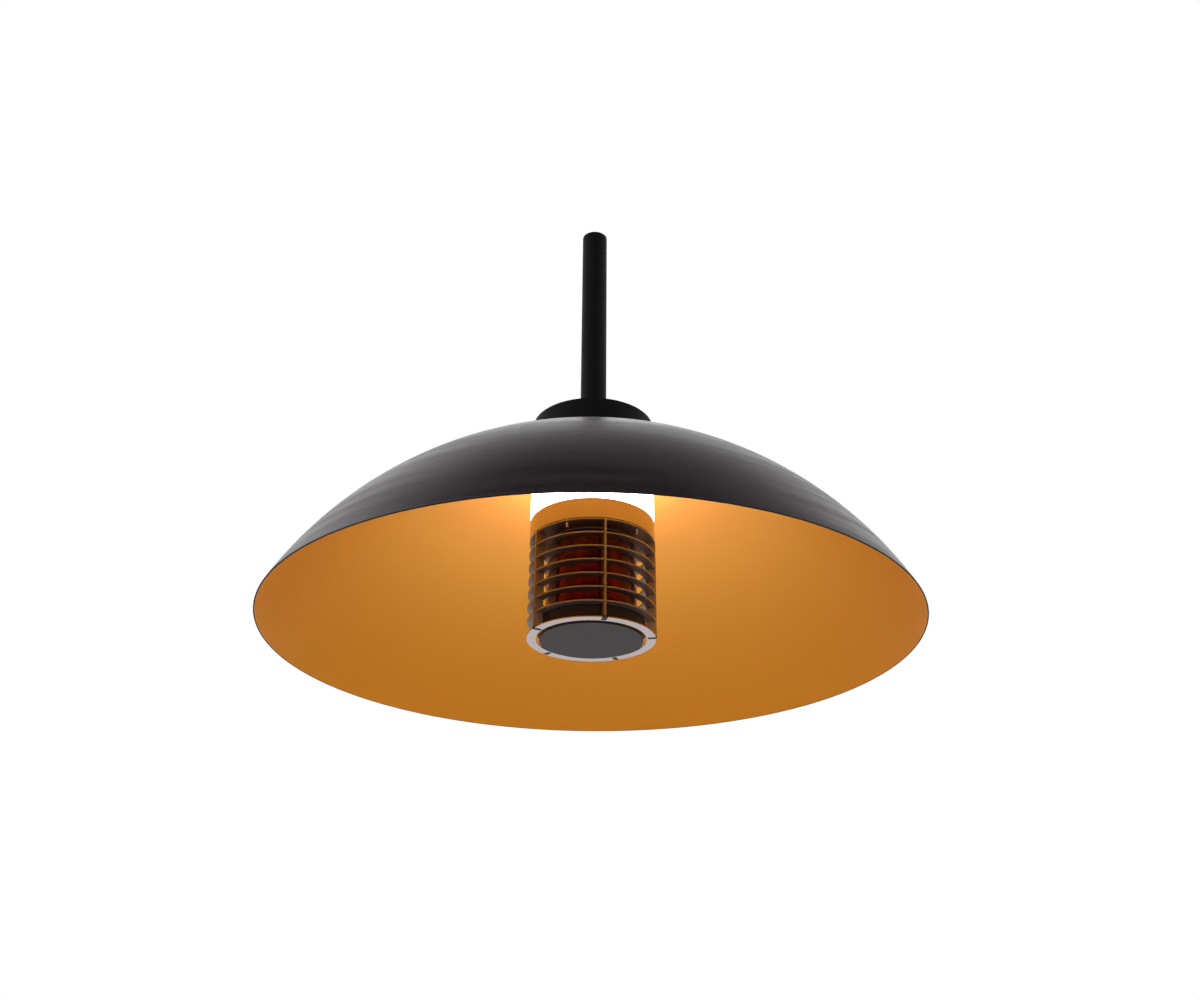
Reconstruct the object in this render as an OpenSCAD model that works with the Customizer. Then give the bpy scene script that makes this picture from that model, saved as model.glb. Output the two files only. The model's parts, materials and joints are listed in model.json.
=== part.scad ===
// Hanging patio heater: a spun dome shade on a ceiling tube, with a lit drum and a
// louvred lamp head on its axis.
// Heights are measured up from the plane of the shade's rim. The module drop() puts
// them in the part's frame, whose origin is the centre of the tube's top end.
// Angles are measured from the front, -Y, towards +X.

/* [Shade] */
// Diameter of the shade at its rim
shade_d = 1030; // [960:5:1100]
// Depth of the full round curve, rim to crown
shade_depth = 313; // [300:1:330]
// Thickness of the spun sheet
shade_t = 2; // [1.5:0.1:2.5]
// Diameter of the flat seat pressed into the crown
seat_d = 184; // [178:1:190]

/* [Tube] */
// Outer diameter of the ceiling tube
tube_d = 44.5; // [40:0.5:48]
// Wall of the ceiling tube
tube_t = 2.5; // [2:0.1:4]
// Height of the tube's top end above the rim
tube_top_h = 790; // [700:5:1400]
// Diameter of the cross bolt hole near the top end
cross_bolt_d = 8.5; // [6:0.5:12]
// Distance of the cross bolt hole below the top end
cross_bolt_drop = 25; // [20:1:60]

/* [Hub] */
// Diameter of the hub's flange
flange_d = 140; // [132:1:150]
// Thickness of the hub's flange
flange_t = 6; // [4:0.5:8]
// Wall of the hub's collar round the tube
collar_t = 8; // [6:0.5:10]
// Height of the collar above the flange
collar_h = 50; // [44:1:54]
// Height of the tube's shoulder above the flange
shoulder_h = 17; // [14:1:20]
// Diameter of the wire way down through the hub
wire_way_d = 34; // [28:1:34]
// Diameter of the hub's bolts
hub_bolt_d = 6; // [5:0.5:8]
// Diameter of the circle of the hub's bolts
hub_bolt_circle = 106; // [100:1:112]
// Diameter of the clamping screws in the collar
clamp_screw_d = 8; // [6:0.5:9]
// Number of the clamping screws
clamp_screw_count = 3; // [2:1:4]
// Thickness of the gasket under the flange
gasket_t = 1; // [0.5:0.1:2]
// Thickness of the plate that backs the crown
support_t = 4.5; // [3:0.5:6]

/* [Cap] */
// Outer diameter of the cover cap
cap_d = 204; // [200:1:212]
// Height of the cover cap
cap_h = 78.4; // [74:0.1:90]
// Wall of the cover cap
cap_t = 2; // [1.5:0.1:3]
// Wall of the bush that slides on the tube
bush_t = 5; // [4:0.5:7]
// Length of the bush
bush_h = 12; // [8:1:13]
// Width of the seal inside the cap's lower edge
cap_seal_w = 3; // [2:0.5:4]
// Height of the seal inside the cap's lower edge
cap_seal_h = 4; // [3:0.5:6]

/* [Head] */
// Diameter of the collar band, the rings and the cage plate
head_d = 204; // [196:1:214]
// Height of the collar band
band_h = 32.6; // [30:0.1:40]
// Sheet thickness of the collar band
band_t = 2; // [1.5:0.1:2.5]
// Width of the band's lower flange
band_flange_w = 16; // [14:0.5:18]
// Thickness of the gasket that leaves the fine dark seam
seam_t = 1; // [0.3:0.1:1.5]
// Diameter of the screws that join band and cage
band_screw_d = 5.5; // [4:0.5:6]
// Length of the screws' ends below the cage plate
band_screw_end = 8; // [6:0.5:12]
// Thickness of the heat insulating pad
pad_t = 12; // [8:1:14]
// Thickness of the heat shield on the pad
shield_t = 1.5; // [1:0.1:2]
// Diameter of the tie rods
tie_d = 6; // [5:0.5:7]

/* [Light] */
// Wall of the opal diffuser
diffuser_t = 3; // [2:0.5:4]
// Thickness of the diffuser's seals
diffuser_seal_t = 1.2; // [0.8:0.1:2]
// Thickness of the plate under the light
floor_t = 3; // [2:0.5:4]
// Wall of the drum that carries the light strips
drum_t = 2.5; // [2:0.5:4]
// Number of light strips round the drum
strip_count = 3; // [2:1:4]
// Width of a light strip
strip_w = 10; // [8:1:12]
// Thickness of a light strip
strip_t = 0.6; // [0.4:0.1:1]
// Number of light chips on each strip
chip_count = 24; // [12:1:30]
// Side of a light chip
chip_w = 5; // [3:0.5:6]
// Thickness of a light chip
chip_t = 1.2; // [0.8:0.1:2]

/* [Cage] */
// Number of fins, and of lamps between them
cage_count = 5; // [4:1:6]
// Angle of the first fin from the front
cage_turn = 12; // [0:1:30]
// Number of louvre rings above the bottom ring
ring_count = 6; // [4:1:6]
// Width of a ring, inner edge to outer edge
ring_w = 15; // [12:0.5:17]
// Sheet thickness of a ring
ring_t = 2; // [1.5:0.1:3]
// Height of the lowest louvre ring
first_ring_h = 26.5; // [22:0.1:30]
// Height from one louvre ring to the next
ring_pitch = 22.7; // [20:0.1:25]
// Thickness of the cage's top plate
cage_plate_t = 2.5; // [2:0.1:4]
// Thickness of a fin
fin_t = 3; // [2:0.1:4]
// How far a fin stands out past the rings
fin_proud = 1.2; // [0.5:0.1:2]
// How far a fin's foot is set above the bottom ring's underside
fin_recess = 1.5; // [0.5:0.1:1.8]
// Width of ring left uncut inside a fin's slot
ring_bridge = 2; // [1.5:0.1:4]

/* [Core] */
// Gap from the bottom ring's inner edge to the bottom disc
disc_gap = 5; // [3:0.5:7]
// Thickness of the bottom disc
disc_t = 3; // [2:0.5:4]
// How far the bottom disc hangs below the bottom ring
disc_drop = 2; // [1:0.5:3]
// Height of the lower housing's top above the bottom ring's underside
housing_top_h = 28; // [26:0.5:34]
// Sheet thickness of the lower housing
housing_t = 2; // [1.5:0.1:3]
// Height of the spigot inside the housing, on the disc
spigot_h = 8; // [6:0.5:10]
// Diameter of the screws through the housing into the spigot
disc_screw_d = 3; // [2.5:0.1:4]
// Number of the screws through the housing
disc_screw_count = 3; // [3:1:4]
// Distance of the ruby glass inside the housing's side
glass_inset = 10; // [8:0.5:12]
// Wall of the ruby glass
glass_t = 3; // [2:0.5:4]
// Thickness of the glass seals
glass_seal_t = 2; // [1:0.5:3]
// Diameter of the centre rod
rod_d = 8; // [6:0.5:10]
// Outer diameter of the centre reflector
reflector_d = 32; // [26:1:36]
// Wall of the centre reflector
reflector_t = 1.2; // [1:0.1:2]

/* [Lamps] */
// Diameter of the circle of lamps
lamp_circle = 96; // [90:1:102]
// Outer diameter of a lamp's quartz tube
lamp_d = 11; // [9:0.5:12]
// Wall of a lamp's quartz tube
lamp_t = 1; // [0.8:0.1:1.5]
// Diameter of a lamp's heating wire coil
filament_d = 2.4; // [1.5:0.1:4]
// Length of a lamp's end cap
lamp_cap_h = 12; // [10:0.5:16]
// Depth of an end cap in its holder
lamp_cap_depth = 8; // [6:0.5:9]
// Height of a ceramic lamp holder
holder_h = 14; // [12:0.5:18]
// Wall of a lamp holder round the end cap
holder_t = 3; // [2:0.5:4]

/* [Electrics] */
// Length of the terminal block
block_l = 36; // [30:1:40]
// Depth of the terminal block
block_w = 20; // [16:1:24]
// Height of the terminal block
block_h = 18; // [15:1:24]
// Length of the control module
module_l = 36; // [30:1:40]
// Depth of the control module
module_w = 24; // [18:1:26]
// Height of the control module
module_h = 30; // [20:1:40]
// Length of the light's driver
driver_l = 84; // [70:1:96]
// Depth of the light's driver
driver_w = 36; // [30:1:44]
// Height of the light's driver
driver_h = 26; // [20:1:40]
// Diameter of the screws that hold the three
fixing_d = 4; // [3:0.5:4.5]
// Diameter of the earth stud
earth_d = 5; // [4:0.5:6]
// Diameter of an insulated lead
lead_d = 3; // [2:0.1:3.4]
// Distance from one feed lead to the next
lead_pitch = 5; // [4:0.5:6]

/* [Hidden] */
$fn = 96;

// Clearances, each on one side
fit = 0.05;
slide_fit = 0.08;
rest_gap = 0.3;
slot_gap = 0.3;
foot_slot_gap = 2.5;
hole_gap = 0.2;
seal_gap = 0.5;
cut = 1;
head_ratio = 1.8;
nut_ratio = 1.9;

// Shade: a ball's cap, cut flat at the crown
ball_r = (shade_d * shade_d / 4 + shade_depth * shade_depth) / (2 * shade_depth);
ball_h = shade_depth - ball_r;
function shade_top(r) = ball_h + sqrt(ball_r * ball_r - r * r);
function shade_under(r) = ball_h + sqrt(pow(ball_r - shade_t, 2) - r * r);
crown_h = shade_top(seat_d / 2);
crown_under_h = crown_h - shade_t;

// Hub and tube
tube_r = tube_d / 2;
flange_r = flange_d / 2;
flange_h = crown_h + gasket_t;
flange_top_h = flange_h + flange_t;
collar_r = tube_r + collar_t;
shoulder_top_h = flange_top_h + shoulder_h;
clamp_screw_h = (shoulder_top_h + flange_top_h + collar_h) / 2;
clamp_screw_proud = 2;
hub_bolt_r = hub_bolt_circle / 2;
hub_bolt_head_t = 4;
support_h = crown_under_h - support_t;
support_inset = 6;
support_r = seat_d / 2 - support_inset;
wire_way_r = wire_way_d / 2;
gasket_in_r = wire_way_r + 3;
grommet_wall = 6;
grommet_lip = 3;
window_lintel = 3;
window_h = shoulder_h - window_lintel;
window_w = 20;
between_turn = cage_turn + 180 / cage_count;
function fin_turn(i) = cage_turn + i * 360 / cage_count;

// Cap
cap_r = cap_d / 2;
cap_foot_h = shade_top(cap_r - cap_t) + rest_gap;
cap_top_h = cap_foot_h + cap_h;
cap_seal_foot_h = shade_top(cap_r - cap_t - cap_seal_w) + rest_gap;
bush_r = tube_r + bush_t;
bush_flange_w = 4;
bush_flange_t = 3;

// Cage, from the bottom ring up to the plate under the band
head_r = head_d / 2;
ring_in_r = head_r - ring_w;
cage_plate_h = first_ring_h + ring_count * ring_pitch;
cage_plate_top_h = cage_plate_h + cage_plate_t;
slot_in_r = ring_in_r + ring_bridge;
fin_out_r = head_r + fin_proud;
function ring_h(i) = first_ring_h + i * ring_pitch;
louvre_levels = [for (i = [0 : ring_count - 1]) ring_h(i)];

// Band, pad and shield stacked on the cage plate
band_foot_h = cage_plate_top_h + seam_t;
band_top_h = band_foot_h + band_h;
band_flange_in_r = head_r - band_flange_w - band_t;
band_screw_inset = 7.5;
band_screw_r = head_r - band_screw_inset;
screw_head_t = 3;
seam_inset = 2;
pad_clear = 2;
pad_r = band_flange_in_r - pad_clear;
shield_h = cage_plate_top_h + pad_t;
shield_top_h = shield_h + shield_t;

// Light
floor_h = band_top_h - floor_t;
floor_r = head_r - band_t - rest_gap;
drum_inset = 2;
drum_r = support_r - drum_inset;
diffuser_inset = 0.5;
diffuser_r = head_r - diffuser_inset;
diffuser_h = band_top_h + diffuser_seal_t;
diffuser_top_h = shade_under(diffuser_r) - rest_gap - diffuser_seal_t;
strip_step = (support_h - band_top_h) / (strip_count + 1);

// Core
housing_r = ring_in_r - disc_gap;
housing_foot_h = disc_t - disc_drop;
housing_side_gap = 1;
housing_body_r = ring_in_r - housing_side_gap;
spigot_t = 2;
spigot_r = housing_r - housing_t - rest_gap;
disc_screw_h = housing_foot_h + spigot_h / 2;
disc_screw_head_t = 1.5;
housing_step_clear = 2.3;
housing_step_h = disc_screw_h + head_ratio * disc_screw_d / 2 + housing_step_clear;
glass_r = housing_r - glass_inset;
glass_h = housing_top_h + glass_seal_t;
glass_top_h = cage_plate_h - glass_seal_t;
rod_r = rod_d / 2;
rod_nut_t = 6.5;
rod_spare = 3;
rod_foot_h = housing_top_h - housing_t - rod_nut_t - rod_spare;
rod_top_h = shield_top_h + rod_nut_t + rod_spare;
tie_inset = 12;
tie_r = glass_r - tie_inset;
tie_nut_t = 5;
tie_spare = 2;
tie_top_gap = 0.5;
tie_foot_h = cage_plate_h - tie_nut_t - tie_spare;
tie_top_h = support_h + support_t - tie_top_gap;
spacer_t = 2.5;

// Lamps
lamp_r = lamp_d / 2;
lamp_cap_wall = 1;
lamp_cap_r = lamp_r + lamp_cap_wall;
holder_r = lamp_cap_r + fit + holder_t;
lamp_circle_r = lamp_circle / 2;
low_cap_h = housing_top_h + holder_h - lamp_cap_depth;
high_cap_h = cage_plate_h - holder_h + lamp_cap_depth - lamp_cap_h;
lamp_foot_h = low_cap_h + lamp_cap_h;
lamp_len = high_cap_h - lamp_foot_h;

// Electrics, on the hub's flange and on the light's floor plate
box_gap = 4;
block_r = collar_r + box_gap + block_w / 2;
module_r = collar_r + box_gap + module_w / 2;
ear_w = 10;
fixing_head_t = 2.5;
fixing_grip = 4;
earth_inset = 12;
earth_r = flange_r - earth_inset;
earth_proud = 14;
earth_nut_t = 4;

// Leads: the feed runs from the terminal block down to the driver, the lamps' up to it
lead_r = lead_d / 2;
lead_gap = 1.25;
lead_hole_r = lead_r + lead_gap;
feed_bend = 8;
feed_r = 6;
feed_h = flange_top_h + window_h / 2;
lamp_lead_bend = 4;
lamp_lead_in_r = 5.2;
lamp_lead_h = rod_top_h + lead_r + lead_gap;

metal_black = [0.09, 0.085, 0.085];
metal_shade = [0.27, 0.25, 0.26];
metal_satin = [0.72, 0.66, 0.62];
metal_zinc = [0.62, 0.62, 0.60];
rubber_black = [0.05, 0.05, 0.05];

module drop(h) {
    translate([0, 0, h - tube_top_h]) children();
}

module spread(r, turn, count = cage_count) {
    for (i = [0 : count - 1])
        rotate([0, 0, turn - 90 + i * 360 / count]) translate([r, 0, 0]) children();
}

module at_turn(r, turn) {
    rotate([0, 0, turn - 90]) translate([r, 0, 0]) children();
}

module ring(outer_r, inner_r, t) {
    difference() {
        cylinder(r = outer_r, h = t);
        translate([0, 0, -cut]) cylinder(r = inner_r, h = t + 2 * cut);
    }
}

module hole(r, depth) {
    translate([0, 0, -cut]) cylinder(r = r, h = depth + 2 * cut);
}

// A quarter bend of a lead, from straight up at the origin round towards +X
module lead_bend(bend) {
    translate([bend, 0, 0]) rotate([90, 0, 0])
        rotate([0, 0, 90]) rotate_extrude(angle = 90) translate([bend, 0]) circle(r = lead_r);
}

module hex_nut(thread_r, t) {
    difference() {
        cylinder(r = nut_ratio * thread_r, h = t, $fn = 6);
        hole(thread_r + fit, t);
    }
}

// A screw with its head resting at height 0 and its shank hanging below
module screw(r, len, head_t) {
    cylinder(r = head_ratio * r, h = head_t);
    translate([0, 0, -len]) cylinder(r = r, h = len + head_t / 2);
}

module suspension_tube() {
    tube_len = tube_top_h - shoulder_top_h;
    color(metal_black)
    drop(shoulder_top_h)
    difference() {
        ring(tube_r, tube_r - tube_t, tube_len);
        translate([0, 0, tube_len - cross_bolt_drop]) rotate([0, 90, 0])
            cylinder(r = cross_bolt_d / 2, h = tube_d + 2 * cut, center = true);
    }
}

module hub_collar() {
    color(metal_zinc)
    drop(flange_h)
    difference() {
        union() {
            cylinder(r = flange_r, h = flange_t);
            cylinder(r = collar_r, h = flange_t + collar_h);
        }
        hole(wire_way_r, flange_t + collar_h);
        translate([0, 0, shoulder_top_h - flange_h])
            cylinder(r = tube_r + fit, h = collar_h);
        spread(hub_bolt_r, between_turn) hole(hub_bolt_d / 2 + hole_gap, flange_t);
        translate([0, 0, clamp_screw_h - flange_h]) spread(0, cage_turn, clamp_screw_count)
            rotate([0, 90, 0]) cylinder(r = clamp_screw_d / 2 + fit, h = collar_r + cut);
        translate([0, 0, flange_t]) at_turn(wire_way_r, fin_turn(1))
            translate([-cut, -window_w / 2, 0]) cube([collar_r, window_w, window_h]);
        fixing_places(flange_t) hole(fixing_d / 2 + fit, flange_t);
        at_turn(earth_r, fin_turn(2)) hole(earth_d / 2 + fit, flange_t);
    }
}

// Where the terminal block's and the control module's screws go through the flange
module fixing_places(h) {
    for (side = [-1, 1]) {
        at_turn(block_r, fin_turn(1)) translate([0, side * (block_l - ear_w) / 2, 0]) children();
        at_turn(module_r, fin_turn(3)) translate([0, side * (module_l - ear_w) / 2, 0]) children();
    }
}

module hub_clamp_screws() {
    color(metal_zinc)
    drop(clamp_screw_h)
    spread(tube_r + fit, cage_turn, clamp_screw_count) rotate([0, 90, 0])
        cylinder(r = clamp_screw_d / 2, h = collar_t + clamp_screw_proud);
}

module hub_bolts() {
    bolt_len = flange_t + gasket_t + shade_t + support_t + tie_nut_t + tie_spare;
    color(metal_zinc)
    drop(flange_top_h)
    spread(hub_bolt_r, between_turn) screw(hub_bolt_d / 2, bolt_len, hub_bolt_head_t);
}

module hub_nuts() {
    color(metal_zinc)
    drop(support_h - tie_nut_t)
    spread(hub_bolt_r, between_turn) hex_nut(hub_bolt_d / 2, tie_nut_t);
}

module hub_gasket() {
    color(rubber_black)
    drop(crown_h)
    difference() {
        ring(flange_r, gasket_in_r, gasket_t);
        spread(hub_bolt_r, between_turn) hole(hub_bolt_d / 2 + hole_gap, gasket_t);
        fixing_places(0) hole(fixing_d / 2 + hole_gap, gasket_t);
        at_turn(earth_r, fin_turn(2)) hole(earth_d / 2 + hole_gap, gasket_t);
    }
}

module cover_cap() {
    color(metal_black)
    drop(cap_foot_h)
    difference() {
        cylinder(r = cap_r, h = cap_h);
        translate([0, 0, -cut]) cylinder(r = cap_r - cap_t, h = cap_h - cap_t + cut);
        hole(bush_r + fit, cap_h);
    }
}

module cap_bush() {
    color(rubber_black)
    drop(cap_top_h - bush_h)
    difference() {
        union() {
            cylinder(r = bush_r, h = bush_h);
            translate([0, 0, bush_h - cap_t - bush_flange_t])
                cylinder(r = bush_r + bush_flange_w, h = bush_flange_t);
        }
        hole(tube_r + slide_fit, bush_h);
    }
}

module cap_seal() {
    color(rubber_black)
    drop(cap_seal_foot_h)
    ring(cap_r - cap_t, cap_r - cap_t - cap_seal_w, cap_seal_h);
}

module dome_shade() {
    color(metal_shade)
    drop(0)
    difference() {
        intersection() {
            translate([0, 0, ball_h]) sphere(r = ball_r, $fn = 180);
            cylinder(r = shade_d, h = crown_h);
        }
        intersection() {
            translate([0, 0, ball_h]) sphere(r = ball_r - shade_t, $fn = 180);
            translate([0, 0, -cut]) cylinder(r = shade_d, h = crown_under_h + cut);
        }
        translate([0, 0, crown_under_h]) {
            hole(wire_way_r + hole_gap, shade_t);
            spread(hub_bolt_r, between_turn) hole(hub_bolt_d / 2 + hole_gap, shade_t);
        }
    }
}

module support_plate() {
    color(metal_zinc)
    drop(support_h)
    difference() {
        cylinder(r = support_r, h = support_t);
        hole(wire_way_r + hole_gap, support_t);
        spread(hub_bolt_r, between_turn) hole(hub_bolt_d / 2 + hole_gap, support_t);
        spread(tie_r, cage_turn) hole(tie_d / 2 + fit, support_t);
    }
}

module cable_grommet() {
    grommet_h = grommet_lip + support_t + shade_t;
    color(rubber_black)
    drop(support_h - grommet_lip)
    difference() {
        union() {
            cylinder(r = wire_way_r + grommet_lip, h = grommet_lip);
            cylinder(r = wire_way_r - fit, h = grommet_h);
        }
        hole(wire_way_r - grommet_wall, grommet_h);
    }
}

module terminal_block() {
    color([0.93, 0.91, 0.86])
    drop(flange_top_h)
    at_turn(block_r, fin_turn(1)) fixed_box(block_l, block_w, block_h);
}

module control_module() {
    color([0.16, 0.16, 0.17])
    drop(flange_top_h)
    at_turn(module_r, fin_turn(3)) fixed_box(module_l, module_w, module_h);
}

// Three leads side by side, from the driver's top up into the hub and out to the block
module feed_leads() {
    drop_h = feed_h - feed_bend - band_top_h - driver_h;
    run = block_r - block_w / 2 - feed_r - feed_bend;
    color([0.45, 0.25, 0.12])
    drop(band_top_h + driver_h)
    at_turn(feed_r, fin_turn(1))
        for (side = [-1 : 1]) translate([0, side * lead_pitch, 0]) {
            cylinder(r = lead_r, h = drop_h);
            translate([0, 0, drop_h]) lead_bend(feed_bend);
            translate([feed_bend, 0, drop_h + feed_bend]) rotate([0, 90, 0])
                cylinder(r = lead_r, h = run);
        }
}

// Each lead rises from its lamp, turns in to the axis and up to the driver
module lamp_leads() {
    foot_h = high_cap_h + lamp_cap_h;
    rise = lamp_lead_h - lamp_lead_bend - foot_h;
    run = lamp_circle_r - lamp_lead_in_r - 2 * lamp_lead_bend;
    color([0.85, 0.83, 0.78])
    drop(foot_h)
    spread(lamp_circle_r, between_turn) mirror([1, 0, 0]) {
        cylinder(r = lead_r, h = rise);
        translate([0, 0, rise]) lead_bend(lamp_lead_bend);
        translate([lamp_lead_bend, 0, rise + lamp_lead_bend]) rotate([0, 90, 0])
            cylinder(r = lead_r, h = run);
        translate([2 * lamp_lead_bend + run, 0, rise + 2 * lamp_lead_bend]) {
            rotate([0, 180, 0]) lead_bend(lamp_lead_bend);
            cylinder(r = lead_r, h = band_top_h - lamp_lead_h - lamp_lead_bend);
        }
    }
}

module led_driver() {
    color([0.88, 0.88, 0.86])
    drop(band_top_h)
    fixed_box(driver_l, driver_w, driver_h);
}

// A box that stands at height 0, with low ears for two screws at its ends
module fixed_box(l, w, h) {
    difference() {
        translate([-w / 2, -l / 2, 0]) cube([w, l, h]);
        for (side = [-1, 1]) translate([0, side * (l - ear_w) / 2, 0]) {
            translate([-w / 2 - cut, -ear_w / 2 - (side < 0 ? cut : 0), fixing_grip])
                cube([w + 2 * cut, ear_w + cut, h]);
            hole(fixing_d / 2 + hole_gap, fixing_grip);
        }
    }
}

module fixing_screws() {
    color(metal_zinc) {
        drop(flange_top_h + fixing_grip)
            fixing_places(0) screw(fixing_d / 2, fixing_grip + flange_t, fixing_head_t);
        drop(band_top_h + fixing_grip)
            for (side = [-1, 1]) translate([0, side * (driver_l - ear_w) / 2, 0])
                screw(fixing_d / 2, fixing_grip + flange_t, fixing_head_t);
    }
}

module earth_stud() {
    color([0.78, 0.62, 0.30])
    drop(flange_h)
    at_turn(earth_r, fin_turn(2)) {
        cylinder(r = earth_d / 2, h = flange_t + earth_proud);
        translate([0, 0, flange_t]) cylinder(r = nut_ratio * earth_d / 2, h = earth_nut_t, $fn = 6);
    }
}

module led_floor_plate() {
    color(metal_zinc)
    drop(floor_h)
    difference() {
        cylinder(r = floor_r, h = floor_t);
        spread(tie_r, cage_turn) hole(tie_d / 2 + hole_gap, floor_t);
        for (side = [-1, 1]) translate([0, side * (driver_l - ear_w) / 2, 0])
            hole(fixing_d / 2 + fit, floor_t);
        hole(lamp_lead_in_r + lead_hole_r, floor_t);
    }
}

module led_drum() {
    color([0.80, 0.80, 0.80])
    drop(band_top_h)
    ring(drum_r, drum_r - drum_t, support_h - band_top_h);
}

module led_strips() {
    color([0.95, 0.93, 0.86])
    for (i = [1 : strip_count])
        drop(band_top_h + i * strip_step - strip_w / 2) ring(drum_r + strip_t, drum_r, strip_w);
}

module led_chips() {
    color([1.0, 0.86, 0.55])
    for (i = [1 : strip_count])
        drop(band_top_h + i * strip_step)
            spread(drum_r + strip_t, 0, chip_count)
                translate([0, -chip_w / 2, -chip_w / 2]) cube([chip_t, chip_w, chip_w]);
}

module led_diffuser() {
    color([0.98, 0.95, 0.88])
    drop(diffuser_h)
    ring(diffuser_r, diffuser_r - diffuser_t, diffuser_top_h - diffuser_h);
}

module diffuser_seals() {
    color([0.85, 0.84, 0.80])
    for (h = [band_top_h, diffuser_top_h])
        drop(h) ring(diffuser_r, diffuser_r - diffuser_t, diffuser_seal_t);
}

module tie_rods() {
    color(metal_zinc)
    drop(tie_foot_h)
    spread(tie_r, cage_turn) cylinder(r = tie_d / 2, h = tie_top_h - tie_foot_h);
}

module tie_rod_nuts() {
    color(metal_zinc)
    for (h = [cage_plate_h - tie_nut_t, support_h - tie_nut_t])
        drop(h) spread(tie_r, cage_turn) hex_nut(tie_d / 2, tie_nut_t);
}

module tie_rod_spacers() {
    color(metal_zinc)
    drop(shield_top_h)
    spread(tie_r, cage_turn)
        ring(tie_d / 2 + hole_gap + spacer_t, tie_d / 2 + hole_gap, floor_h - shield_top_h);
}

module collar_band() {
    color(metal_satin)
    drop(band_foot_h)
    difference() {
        cylinder(r = head_r, h = band_h);
        translate([0, 0, band_t]) cylinder(r = head_r - band_t, h = band_h);
        hole(band_flange_in_r, band_h);
        spread(band_screw_r, between_turn) hole(band_screw_d / 2 + hole_gap, band_t);
    }
}

module seam_gasket() {
    color(rubber_black)
    drop(cage_plate_top_h)
    difference() {
        ring(head_r - seam_inset, band_flange_in_r, seam_t);
        spread(band_screw_r, between_turn) hole(band_screw_d / 2 + hole_gap, seam_t);
    }
}

module band_screws() {
    screw_len = band_t + seam_t + cage_plate_t + band_screw_end;
    color(metal_zinc)
    drop(band_foot_h + band_t)
    spread(band_screw_r, between_turn) screw(band_screw_d / 2, screw_len, screw_head_t);
}

module cage_top_plate() {
    color(metal_satin)
    drop(cage_plate_h)
    difference() {
        cylinder(r = head_r, h = cage_plate_t);
        fin_slots(cage_plate_t);
        spread(band_screw_r, between_turn) hole(band_screw_d / 2 + fit, cage_plate_t);
        spread(tie_r, cage_turn) hole(tie_d / 2 + hole_gap, cage_plate_t);
        hole(rod_r + hole_gap, cage_plate_t);
        spread(lamp_circle_r, between_turn) hole(lead_hole_r, cage_plate_t);
    }
}

module insulation_pad() {
    color([0.90, 0.88, 0.82])
    drop(cage_plate_top_h)
    difference() {
        cylinder(r = pad_r, h = pad_t);
        stack_holes(pad_t);
    }
}

module heat_shield() {
    color([0.80, 0.80, 0.78])
    drop(shield_h)
    difference() {
        cylinder(r = pad_r, h = shield_t);
        stack_holes(shield_t);
    }
}

// Holes for the tie rods, the centre rod and the lamps' leads
module stack_holes(t) {
    spread(tie_r, cage_turn) hole(tie_d / 2 + hole_gap, t);
    hole(rod_r + hole_gap, t);
    spread(lamp_circle_r, between_turn) hole(lead_hole_r, t);
}

module lamp_holder() {
    difference() {
        cylinder(r = holder_r, h = holder_h);
        translate([0, 0, holder_h - lamp_cap_depth])
            cylinder(r = lamp_cap_r + fit, h = lamp_cap_depth + cut);
        hole(lead_hole_r, holder_h);
    }
}

module upper_lamp_holders() {
    color([0.93, 0.92, 0.88])
    drop(cage_plate_h)
    spread(lamp_circle_r, between_turn) mirror([0, 0, 1]) lamp_holder();
}

module lower_lamp_holders() {
    color([0.93, 0.92, 0.88])
    drop(housing_top_h)
    spread(lamp_circle_r, between_turn) lamp_holder();
}

module lamp_tubes() {
    color([0.75, 0.20, 0.12, 0.6])
    drop(lamp_foot_h)
    spread(lamp_circle_r, between_turn) ring(lamp_r, lamp_r - lamp_t, lamp_len);
}

module lamp_end_caps() {
    color([0.88, 0.87, 0.84])
    for (h = [low_cap_h, high_cap_h])
        drop(h) spread(lamp_circle_r, between_turn) cylinder(r = lamp_cap_r, h = lamp_cap_h);
}

module lamp_filaments() {
    color([1.0, 0.35, 0.10])
    drop(lamp_foot_h)
    spread(lamp_circle_r, between_turn) cylinder(r = filament_d / 2, h = lamp_len);
}

module centre_reflector() {
    color([0.86, 0.86, 0.86])
    drop(housing_top_h)
    ring(reflector_d / 2, reflector_d / 2 - reflector_t, cage_plate_h - housing_top_h);
}

module centre_rod() {
    color(metal_zinc)
    drop(rod_foot_h)
    cylinder(r = rod_r, h = rod_top_h - rod_foot_h);
}

module centre_rod_nuts() {
    color(metal_zinc)
    for (h = [housing_top_h - housing_t - rod_nut_t, shield_top_h])
        drop(h) hex_nut(rod_r, rod_nut_t);
}

module ruby_glass() {
    color([0.30, 0.03, 0.02, 0.7])
    drop(glass_h)
    ring(glass_r, glass_r - glass_t, glass_top_h - glass_h);
}

module glass_seals() {
    color(rubber_black)
    for (h = [housing_top_h, glass_top_h])
        drop(h) ring(glass_r + seal_gap, glass_r - glass_t - seal_gap, glass_seal_t);
}

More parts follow.
